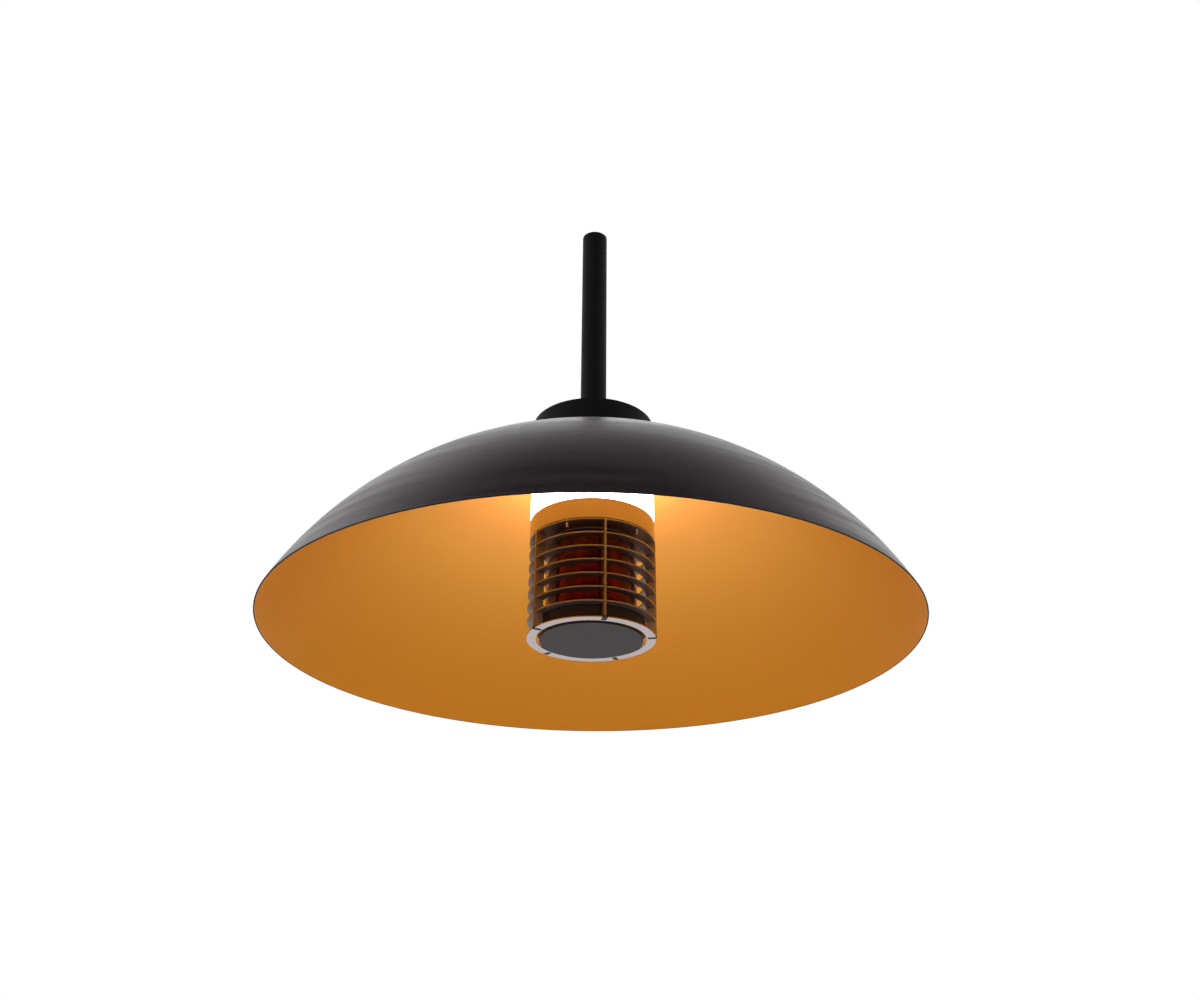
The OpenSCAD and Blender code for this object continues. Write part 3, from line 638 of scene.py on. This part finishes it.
# The finish of each slot of the record, but for the leads' slot, whose pieces have their own
FINISHES = {
    "black_powder_coat": black_powder_coat(),
    "dark_shade_metal": dark_shade_metal(),
    "zinc_steel": zinc_steel(),
    "black_rubber": black_rubber(),
    "glass_gasket_fibre": glass_gasket_fibre(),
    "bush_plastic": moulded("bush_plastic", (0.018, 0.018, 0.019), 0.45, 0.7 * MM),
    "terminal_plastic": moulded("terminal_plastic", (0.78, 0.74, 0.66), 0.42, 0.5 * MM),
    "module_plastic": moulded("module_plastic", (0.022, 0.022, 0.024), 0.50, 0.6 * MM),
    "driver_case": moulded("driver_case", (0.74, 0.74, 0.72), 0.46, 0.6 * MM),
    "earth_brass": earth_brass(),
    "mill_aluminium": rolled("mill_aluminium", (0.72, 0.72, 0.73), 0.36, 0.8 * MM),
    "strip_board": strip_board(),
    "light_chip": light_chip(),
    "opal_diffuser": opal_diffuser(),
    "white_silicone": moulded("white_silicone", (0.72, 0.70, 0.65), 0.62, 0.9 * MM),
    "satin_bronze_steel": satin_steel("satin_bronze_steel", (0.635, 0.515, 0.29)),
    "insulation_board": insulation_board(),
    "shield_steel": rolled("shield_steel", (0.66, 0.65, 0.63), 0.24, 0.5 * MM),
    "lamp_ceramic": lamp_ceramic(),
    "ruby_quartz": ruby_quartz(),
    "heating_wire": heating_wire(),
    "polished_reflector": polished_reflector(),
    "ruby_glass": ruby_glass(),
    "graphite_disc": graphite_disc(),
}

# The cage's steel, its faces painted browner than its cut edges, and the louvres' darker too: painted
# reflection of the gold shade and painted shade inside the cage
CUT_EDGES = (0.37, 0.345, 0.37)
LOUVRE_STEEL = satin_steel("louvre_steel", (0.31, 0.225, 0.185), CUT_EDGES)
FIN_STEEL = satin_steel("fin_steel", (0.50, 0.35, 0.20), CUT_EDGES, shaded_foot=True)

# The pieces whose finish differs from that of their slot
NODE_FINISHES = {
    "feed_leads": feed_sleeves(),
    "lamp_leads": lamp_sleeves(),
    "lower_housing": housing_coat(),
    "bottom_ring": satin_steel("bottom_ring_steel", (0.52, 0.455, 0.44)),
    "cage_top_plate": LOUVRE_STEEL,
    **{name: LOUVRE_STEEL for name in cad if name.startswith("louvre_ring_")},
    **{name: FIN_STEEL for name in cad if name.startswith("cage_fin_")},
}


def dress_nodes():
    """Gives each of the model's pieces its finish."""
    for row in frame["record"]["subparts"]:
        name = row["node"]
        mesh = cad[name].data
        mesh.materials.clear()
        mesh.materials.append(NODE_FINISHES.get(name) or FINISHES[row["material_slot"]])


# Width of a piece's broken edges, and of those that need more or less than the usual
EDGE = 0.3 * MM
EDGES = {
    "cover_cap": 1.5 * MM, "hub_collar": 0.8 * MM, "suspension_tube": 0.4 * MM, "cap_bush": 0.6 * MM,
    "ruby_glass": 0.8 * MM, "bottom_disc": 0.5 * MM, "control_module": 1.5 * MM, "led_driver": 1.5 * MM,
    "led_chips": 0.1 * MM, "led_strips": 0.1 * MM, "seam_gasket": 0.1 * MM, "disc_screws": 0.2 * MM,
}


def break_edges():
    """Breaks the sharp edges of the model's pieces with modifiers, which leave its meshes alone."""
    for name, node in cad.items():
        weld = node.modifiers.new("weld", "WELD")
        weld.merge_threshold = 0.001 * MM
        flat = node.modifiers.new("flat", "DECIMATE")
        flat.decimate_type = "DISSOLVE"
        flat.angle_limit = radians(0.5)
        edge = node.modifiers.new("edge", "BEVEL")
        edge.width = EDGES.get(name, EDGE)
        edge.segments = 2
        edge.limit_method = "ANGLE"
        edge.angle_limit = SHARP
        edge.harden_normals = False
        smooth = node.modifiers.new("smooth", "WEIGHTED_NORMAL")
        smooth.keep_sharp = True


def add_object(name, data):
    """Puts an object with this data into the scene."""
    made = bpy.data.objects.new(name, data)
    bpy.context.scene.collection.objects.link(made)
    return made


def add_mesh(name, shape, finishes):
    """Turns a bmesh into an object with these finishes."""
    mesh = bpy.data.meshes.new(name)
    shape.to_mesh(mesh)
    shape.free()
    for finish in finishes:
        mesh.materials.append(finish)
    return add_object(name, mesh)


def add_piece(name, shape, slot, replaces=None, finishes=None):
    """Makes a piece of the heater, in its slot's finish or its own, that may stand for a CAD node."""
    bmesh.ops.recalc_face_normals(shape, faces=shape.faces)
    made = add_mesh(name, shape, finishes or [FINISHES[slot]])
    mesh = made.data
    mesh.polygons.foreach_set("use_smooth", [True] * len(mesh.polygons))
    mesh.set_sharp_from_angle(angle=SHARP)
    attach(made, "heater")
    if replaces:
        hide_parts(replaces)


def turn_profile(profile, finishes, steps):
    """Turns a closed outline of (radius, height) points round the axis, each side in its finish."""
    shape = bmesh.new()
    rings = []
    for i in range(steps):
        c, s = cos(2 * pi * i / steps), sin(2 * pi * i / steps)
        rings.append([shape.verts.new((r * c, r * s, z)) for r, z in profile])
    for i in range(steps):
        near, far = rings[i], rings[(i + 1) % steps]
        for j, finish in enumerate(finishes):
            k = (j + 1) % len(profile)
            face = shape.faces.new((near[j], far[j], far[k], near[k]))
            face.material_index = finish
    return shape


# The spun sheet of the shade: its thickness, the radii of its flat seat and of the way for the wires
SHEET = 2 * MM
SEAT_R = 92 * MM
WAY_R = 17.2 * MM
SHADE_STEPS = 240
ARC_STEPS = 72
LIP_STEPS = 6


def shade_skin():
    """The shade as one closed spun sheet: dark outside, gold inside, and dull on its rounded lip."""
    height = CROWN_Z - RIM_Z
    centre = (SEAT_R ** 2 + height ** 2 - RIM_R ** 2) / (2 * height)
    ball = hypot(RIM_R, centre)

    def at(radius, turn):
        return radius * sin(turn), RIM_Z + centre + radius * cos(turn)

    def arc(radius, first, last):
        return [at(radius, first + (last - first) * i / ARC_STEPS) for i in range(ARC_STEPS + 1)]

    half = SHEET / 2
    rim_turn = asin((RIM_R - half) / (ball - half))
    outer = arc(ball, asin(SEAT_R / ball), rim_turn)
    inner = arc(ball - SHEET, rim_turn, asin(SEAT_R / (ball - SHEET)))
    middle = at(ball - half, rim_turn)
    lip_turns = [rim_turn + pi * i / LIP_STEPS for i in range(1, LIP_STEPS)]
    lip = [(middle[0] + half * sin(turn), middle[1] + half * cos(turn)) for turn in lip_turns]
    under = CROWN_Z - SHEET
    profile = [(WAY_R, CROWN_Z)] + outer + lip + inner[:-1] + [(SEAT_R, under), (WAY_R, under)]
    dark, gold, dull = range(3)
    sides = [dark] * len(outer) + [dull] * (len(lip) + 1) + [gold] * len(inner) + [dark]
    add_piece("shade_skin", turn_profile(profile, sides, SHADE_STEPS), "dark_shade_metal", "dome_shade",
              [FINISHES["dark_shade_metal"], gold_inside(), rim_edge()])


def spot(radius, turn, z, lean=0):
    """A place at a radius, at a turn from the front. Its X points outward, or its Z if it leans by 90."""
    turned = Matrix.Rotation(radians(turn - 90), 4, "Z")
    return turned @ Matrix.Translation((radius, 0, z)) @ Matrix.Rotation(radians(lean), 4, "Y")


def spots(radius, turn, z, count=COUNT, lean=0):
    """Such places, evenly round the axis from the first one's turn."""
    return [spot(radius, turn + i * 360 / count, z, lean) for i in range(count)]


def skin(shape, loops, finish=0):
    """Joins each loop of vertices to the next, and closes the first and the last."""
    faces = [shape.faces.new(loops[0]), shape.faces.new(loops[-1])]
    for near, far in zip(loops, loops[1:]):
        faces += [shape.faces.new((near[i - 1], near[i], far[i], far[i - 1])) for i in range(len(near))]
    for face in faces:
        face.material_index = finish


def loft(shape, place, rings, steps=24, finish=0):
    """Skins a stack of (outline, height) rings. An outline gives the radius at each angle."""
    turns = [2 * pi * i / steps for i in range(steps)]
    loops = []
    for outline, height in rings:
        points = [(outline(turn) * cos(turn), outline(turn) * sin(turn), height) for turn in turns]
        loops.append([shape.verts.new(place @ Vector(point)) for point in points])
    skin(shape, loops, finish)


def lofted(places, rings):
    """The same stack of rings at each of the places."""
    shape = bmesh.new()
    for place in places:
        loft(shape, place, rings)
    return shape


def sweep(shape, place, path, radius, sides):
    """A round wire along a path."""
    loops = []
    for i, point in enumerate(path):
        along = (path[min(i + 1, len(path) - 1)] - path[max(i - 1, 0)]).normalized()
        side = along.cross(Vector((0.3, 0.9, 0.1))).normalized()
        up = along.cross(side)
        loop = []
        for j in range(sides):
            angle = 2 * pi * j / sides
            loop.append(shape.verts.new(place @ (point + radius * (cos(angle) * side + sin(angle) * up))))
        loops.append(loop)
    skin(shape, loops)


def block(shape, low, high, edge):
    """A box from low to high with rounded edges."""
    low, high = Vector(low), Vector(high)
    sizes = Matrix.Diagonal((*(high - low), 1))
    made = bmesh.ops.create_cube(shape, matrix=Matrix.Translation((low + high) / 2) @ sizes)
    edges = list(dict.fromkeys(e for v in made["verts"] for e in v.link_edges))
    bmesh.ops.bevel(shape, geom=edges, offset=edge, segments=2, profile=0.5, affect="EDGES")


def circle(radius):
    """The outline of a circle."""
    return lambda turn: radius


def hexagon(corner):
    """The outline of a hexagon with a corner on +X, by the distance out to its corners."""
    return lambda turn: corner * cos(pi / 6) / cos(turn % (pi / 3) - pi / 6)


def cross(reach, width):
    """The outline of a screwdriver's cross."""
    tiny = 1e-6

    def outline(turn):
        c, s = abs(cos(turn)) + tiny, abs(sin(turn)) + tiny
        return max(min(reach / c, width / 2 / s), min(width / 2 / c, reach / s))
    return outline


def thread(radius, pitch, top):
    """The outlines of a thread that climbs one pitch a turn and runs out at both ends."""
    foot = 0.1 * MM
    depth = 0.55 * pitch
    rows_a_turn = 6
    rows = round((top - foot) / pitch * rows_a_turn)

    def ring(height):
        taper = max(0, 1 - (height - foot) / pitch)
        run_out = max(0, 1 - (top - height) / pitch)

        def outline(turn):
            groove = abs((height / pitch - turn / (2 * pi)) % 1 * 2 - 1)
            return radius - depth * max(groove * (1 - run_out), taper)
        return outline

    heights = [foot + (top - foot) * i / rows for i in range(rows + 1)]
    return [(ring(height), height) for height in heights]


def head(radius, height, foot, drive, depth):
    """The outlines of a screw's head that stands on foot, with the drive sunk into its top."""
    edge = 0.12 * radius
    top = foot + height
    return [(circle(radius - edge), foot), (circle(radius), foot + edge), (circle(radius), top - edge),
            (circle(radius - edge), top), (drive, top), (drive, top - depth)]


def shank(radius, pitch, threaded, grip, tip):
    """The outlines of a screw from its tip to its head: the thread first, and plain above it."""
    return [(circle(radius * tip), 0)] + thread(radius, pitch, threaded) + [(circle(radius), grip)]


# The weld at a fin's foot, in millimetres: how far from the axis it begins and ends, and its ripple
WELD_FROM = 89.4
WELD_TO = 102.7
WELD_STEPS = 40
RIPPLE_PITCH = 1.3
RIPPLE_DEPTH = 0.16

# Its section, sideways from the fin and up from the rim: its underside in the slot and the bead on
# its right. The third number says which way the ripple goes there.
WELD_UNDER = [(-3.0, 0.40, 1), (-1.8, 0.55, 1), (0, 0.75, 1), (1.8, 0.55, 1), (3.0, 0.40, 1)]
WELD_RIGHT = [
    (3.95, 0.75, 0), (3.95, 1.8, 0), (3.1, 2.3, -1), (2.1, 2.7, -1), (1.55, 3.3, 0), (1.55, 1.46, 0),
]


def foot_welds():
    """The weld beads that fill the bottom ring's slots, under and beside the fins' feet."""
    section = WELD_UNDER + WELD_RIGHT + [(-y, z, way) for y, z, way in reversed(WELD_RIGHT)]
    shape = bmesh.new()
    for place in spots(0, FIN_TURN, RIM_Z):
        loops = []
        for i in range(WELD_STEPS + 1):
            x = WELD_FROM + (WELD_TO - WELD_FROM) * i / WELD_STEPS
            swell = RIPPLE_DEPTH * abs(sin(pi * x / RIPPLE_PITCH))
            points = [Vector((x, y, z + way * swell)) * MM for y, z, way in section]
            loops.append([shape.verts.new(place @ point) for point in points])
        skin(shape, loops)
    add_piece("foot_welds", shape, "satin_bronze_steel", finishes=[weld_metal()])


def band_screw_set():
    """The screws that join band and cage, whose threaded ends show between the fins."""
    low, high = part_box("band_screws")
    head_height = 3 * MM
    grip = high.z - low.z - head_height
    rings = shank(2.75 * MM, 0.9 * MM, 0.75 * grip, grip, 0.5)
    rings += head(4.95 * MM, head_height, grip, cross(3 * MM, 1.1 * MM), 1.5 * MM)
    # The screws' steel is painted golden brown: painted reflection of the gold shade
    painted_gold_reflection = satin_steel("screw_steel_painted_gold_reflection", (0.40, 0.25, 0.12))
    shape = lofted(spots(BAND_SCREW_R, LAMP_TURN, low.z), rings)
    add_piece("band_screw_set", shape, "zinc_steel", "band_screws", [painted_gold_reflection])


def hub_bolt_set():
    """Socket head bolts through the hub's flange."""
    low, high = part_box("hub_bolts")
    head_height = 4 * MM
    grip = high.z - low.z - head_height
    rings = shank(3 * MM, 1 * MM, 0.6 * grip, grip, 0.6)
    rings += head(5.4 * MM, head_height, grip, hexagon(2.9 * MM), 2.4 * MM)
    shape = lofted(spots(HUB_BOLT_R, LAMP_TURN, low.z), rings)
    add_piece("hub_bolt_set", shape, "zinc_steel", "hub_bolts")


def clamp_screw_set():
    """Socket set screws, which point at the axis and grip the tube."""
    low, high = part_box("hub_clamp_screws")
    radius, length, socket = 4 * MM, 10 * MM, hexagon(2.3 * MM)
    rings = [(circle(radius * 0.6), 0)] + thread(radius, 1.25 * MM, length - 0.3 * MM)
    rings += [(circle(radius * 0.82), length), (socket, length), (socket, length - 3 * MM)]
    places = spots(CLAMP_SCREW_R, FIN_TURN, (low.z + high.z) / 2, count=3, lean=90)
    add_piece("clamp_screw_set", lofted(places, rings), "zinc_steel", "hub_clamp_screws")


def disc_screw_set():
    """Small pan-headed screws through the side of the lower housing."""
    low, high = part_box("disc_screws")
    radius, grip = 1.5 * MM, 4.3 * MM
    rings = [(circle(radius * 0.6), 0), (circle(radius), 0.5 * MM), (circle(radius), grip)]
    rings += head(2.7 * MM, 1.5 * MM, grip, cross(1.7 * MM, 0.7 * MM), 0.8 * MM)
    places = spots(DISC_SCREW_R - grip, FIN_TURN, (low.z + high.z) / 2, count=3, lean=90)
    add_piece("disc_screw_set", lofted(places, rings), "zinc_steel", "disc_screws")


def fixing_screw_set():
    """Cross-headed screws in the ears of the terminal block, the control module and the driver."""
    flange_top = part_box("terminal_block")[0].z
    floor_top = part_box("led_driver")[0].z
    grip = 10 * MM
    rings = shank(2 * MM, 0.7 * MM, 5 * MM, grip, 0.5)
    rings += head(3.6 * MM, 2.5 * MM, grip, cross(2.2 * MM, 0.9 * MM), 1.4 * MM)
    cases = [(spot(BLOCK_R, BLOCK_TURN, flange_top), CASE_HALF),
             (spot(MODULE_R, MODULE_TURN, flange_top), CASE_HALF),
             (spot(0, 90, floor_top), DRIVER_HALF)]
    places = []
    for case, half in cases:
        for side in (-1, 1):
            places.append(case @ Matrix.Translation((0, side * (half - EAR_LENGTH / 2), EAR_HEIGHT - grip)))
    add_piece("fixing_screw_set", lofted(places, rings), "zinc_steel", "fixing_screws")


def ears(shape, half_width):
    """The two low ears of a case, which take the fixing screws and reach a little into its walls."""
    for side in (-1, 1):
        near, far = sorted((side * (CASE_HALF - EAR_LENGTH - 0.5 * MM), side * CASE_HALF))
        block(shape, (-half_width, near, 0), (half_width, far, EAR_HEIGHT), 0.4 * MM)


def terminal_strip():
    """The terminal block: three poles between walls, a screw in each, and brass mouths for the leads."""
    low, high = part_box("terminal_block")
    tall = high.z - low.z
    deck, wide, half, wall = 13.5 * MM, 10 * MM, 8 * MM, 0.9 * MM
    shape = bmesh.new()
    block(shape, (-wide + 0.8 * MM, -half, 0), (wide, half, deck), 0.4 * MM)
    ears(shape, wide)
    for i in range(4):
        y = (i - 1.5) * LEAD_PITCH
        block(shape, (-wide + 0.3 * MM, y - wall / 2, 2 * MM), (wide, y + wall / 2, tall), 0.2 * MM)
    block(shape, (-1.2 * MM, -half, deck - 1 * MM), (1.2 * MM, half, tall - 1.5 * MM), 0.3 * MM)
    pan = head(1.9 * MM, 1.7 * MM, 0.2 * MM, cross(1.3 * MM, 0.5 * MM), 0.8 * MM)
    mouth = [(circle(1.7 * MM), 2 * MM), (circle(2 * MM), 1.6 * MM), (circle(2 * MM), 0.3 * MM),
             (circle(1.8 * MM), 0), (circle(1.55 * MM), 0), (circle(1.5 * MM), 1 * MM)]
    for i in range(3):
        y = (i - 1) * LEAD_PITCH
        for x in (-5 * MM, 5 * MM):
            seat = Matrix.Translation((x, y, deck - 0.3 * MM))
            loft(shape, seat, [(circle(1.5 * MM), 0)] + pan, finish=1)
        front = Matrix.Translation((-wide, y, 7 * MM)) @ Matrix.Rotation(radians(90), 4, "Y")
        loft(shape, front, mouth, finish=1)
    shape.transform(spot(BLOCK_R, BLOCK_TURN, low.z))
    add_piece("terminal_strip", shape, "terminal_plastic", "terminal_block",
              [FINISHES["terminal_plastic"], FINISHES["earth_brass"]])


def control_box():
    """The control module: a moulded case with a lid over a groove, and ribs across its top."""
    low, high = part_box("control_module")
    tall = high.z - low.z
    wide, half, split = 12 * MM, 8 * MM, 21 * MM
    groove, gap = 0.6 * MM, 0.5 * MM
    rib, rib_pitch, rib_height, inset = 0.6 * MM, 3.4 * MM, 1 * MM, 2 * MM
    core_wide, core_half = wide - groove, half - groove
    shape = bmesh.new()
    block(shape, (-core_wide, -core_half, 0), (core_wide, core_half, tall - rib_height), 0.8 * MM)
    block(shape, (-wide, -half, split + gap), (wide, half, tall - 0.5 * MM), 1.2 * MM)
    block(shape, (-wide, -half, 0), (wide, half, split), 0.5 * MM)
    ears(shape, wide)
    for i in range(5):
        x = (i - 2) * rib_pitch
        block(shape, (x - rib, -half + inset, tall - rib_height), (x + rib, half - inset, tall), 0.25 * MM)
    shape.transform(spot(MODULE_R, MODULE_TURN, low.z))
    add_piece("control_box", shape, "module_plastic", "control_module")


def earth_stud_and_nut():
    """The earth stud, thread up, and the nut that stands clear of the flange for the earth lead."""
    low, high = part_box("earth_stud")
    length = high.z - low.z
    radius, corner = 2.5 * MM, 4.75 * MM
    nut_foot, nut_top, chamfer = 6 * MM, 10 * MM, 0.5 * MM
    place = spot(STUD_R, STUD_TURN, low.z)
    flip = place @ Matrix.Translation((0, 0, length)) @ Matrix.Rotation(pi, 4, "X")
    nut = [(circle(radius), nut_foot), (hexagon(corner), nut_foot), (hexagon(corner), nut_top - chamfer),
           (circle(corner * 0.86), nut_top), (circle(radius), nut_top)]
    shape = lofted([flip], shank(radius, 0.8 * MM, 11 * MM, length, 0.6))
    loft(shape, place, nut, steps=36)
    add_piece("earth_stud_and_nut", shape, "earth_brass", "earth_stud")


def heating_coils():
    """One coil of wire along each lamp, straight for a few millimetres at its ends."""
    low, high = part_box("lamp_filaments")
    length = high.z - low.z
    wire, coil, pitch, plain = 0.28 * MM, 0.9 * MM, 1.5 * MM, 4 * MM
    sides, around = 6, 14
    steps = round((length - 2 * plain) / pitch) * around
    path = [Vector((0, 0, 0))]
    for i in range(steps + 1):
        swell = min(1, i / around, (steps - i) / around)
        angle = 2 * pi * i / around
        z = plain + (length - 2 * plain) * i / steps
        path.append(Vector((coil * swell * cos(angle), coil * swell * sin(angle), z)))
    path.append(Vector((0, 0, length)))
    shape = bmesh.new()
    for place in spots(LAMP_R, LAMP_TURN, low.z):
        sweep(shape, place, path, wire, sides)
    add_piece("heating_coils", shape, "heating_wire", "lamp_filaments")


def set_camera():
    """Puts the camera where the photograph was taken from."""
    data = bpy.data.cameras.new("camera")
    data.sensor_width = SENSOR_WIDTH
    data.lens = VIEW_LENS
    camera = add_object("camera", data)
    aim = Matrix.Rotation(radians(90 + VIEW_TILT), 4, "X") @ Matrix.Rotation(radians(VIEW_ROLL), 4, "Z")
    camera.matrix_world = Matrix.Translation(RIM_CENTRE + RIM_R * VIEW_FROM) @ aim
    bpy.context.scene.camera = camera


def set_air():
    """White wherever the air is seen, and a plainer light on the heater itself."""
    world = bpy.data.worlds.new("studio_air")
    world.use_nodes = True
    nodes = Nodes(world.node_tree)
    way = nodes.add("ShaderNodeTexCoord", output="Generated")
    height = nodes.axis(way, "Z") + FADE_LEAN * nodes.axis(way, "X")
    seen = (nodes.ray("Camera") + nodes.ray("Transmission")).between(0, 1)
    mirrored = nodes.ray("Glossy") * (1 - seen)
    mirror_light = height.between(FADE_FROM, FADE_TO).to(HORIZON_LIGHT, OVERHEAD_LIGHT)
    strength = seen + mirrored * mirror_light + (1 - seen - mirrored) * AIR_LIGHT
    sky = nodes.add("ShaderNodeBackground", None, {"Color": (1, 1, 1, 1), "Strength": strength})
    nodes.add("ShaderNodeOutputWorld", None, {"Surface": sky})
    bpy.context.scene.world = world


def add_lights():
    """Adds the lights round the heater."""
    for name, (power, size, place) in LIGHTS.items():
        data = bpy.data.lights.new(name, "AREA")
        data.energy = power
        data.size = size
        light = add_object(name, data)
        light.location = place
        light.rotation_euler = (RIM_CENTRE - light.location).to_track_quat("-Z", "Y").to_euler()


def add_floor():
    """Adds the floor, far below the heater."""
    shape = bmesh.new()
    z = RIM_Z - FLOOR_DEPTH
    corners = [(-1, -1), (1, -1), (1, 1), (-1, 1)]
    shape.faces.new([shape.verts.new((x * FLOOR_REACH, y * FLOOR_REACH, z)) for x, y in corners])
    add_mesh("floor", shape, [floor_paint()])


bpy.context.scene.view_settings.view_transform = "Standard"
set_camera()
set_air()
add_lights()
add_floor()

dress_nodes()
break_edges()
shade_skin()
foot_welds()
band_screw_set()
hub_bolt_set()
clamp_screw_set()
fixing_screw_set()
terminal_strip()
control_box()
earth_stud_and_nut()
disc_screw_set()
heating_coils()
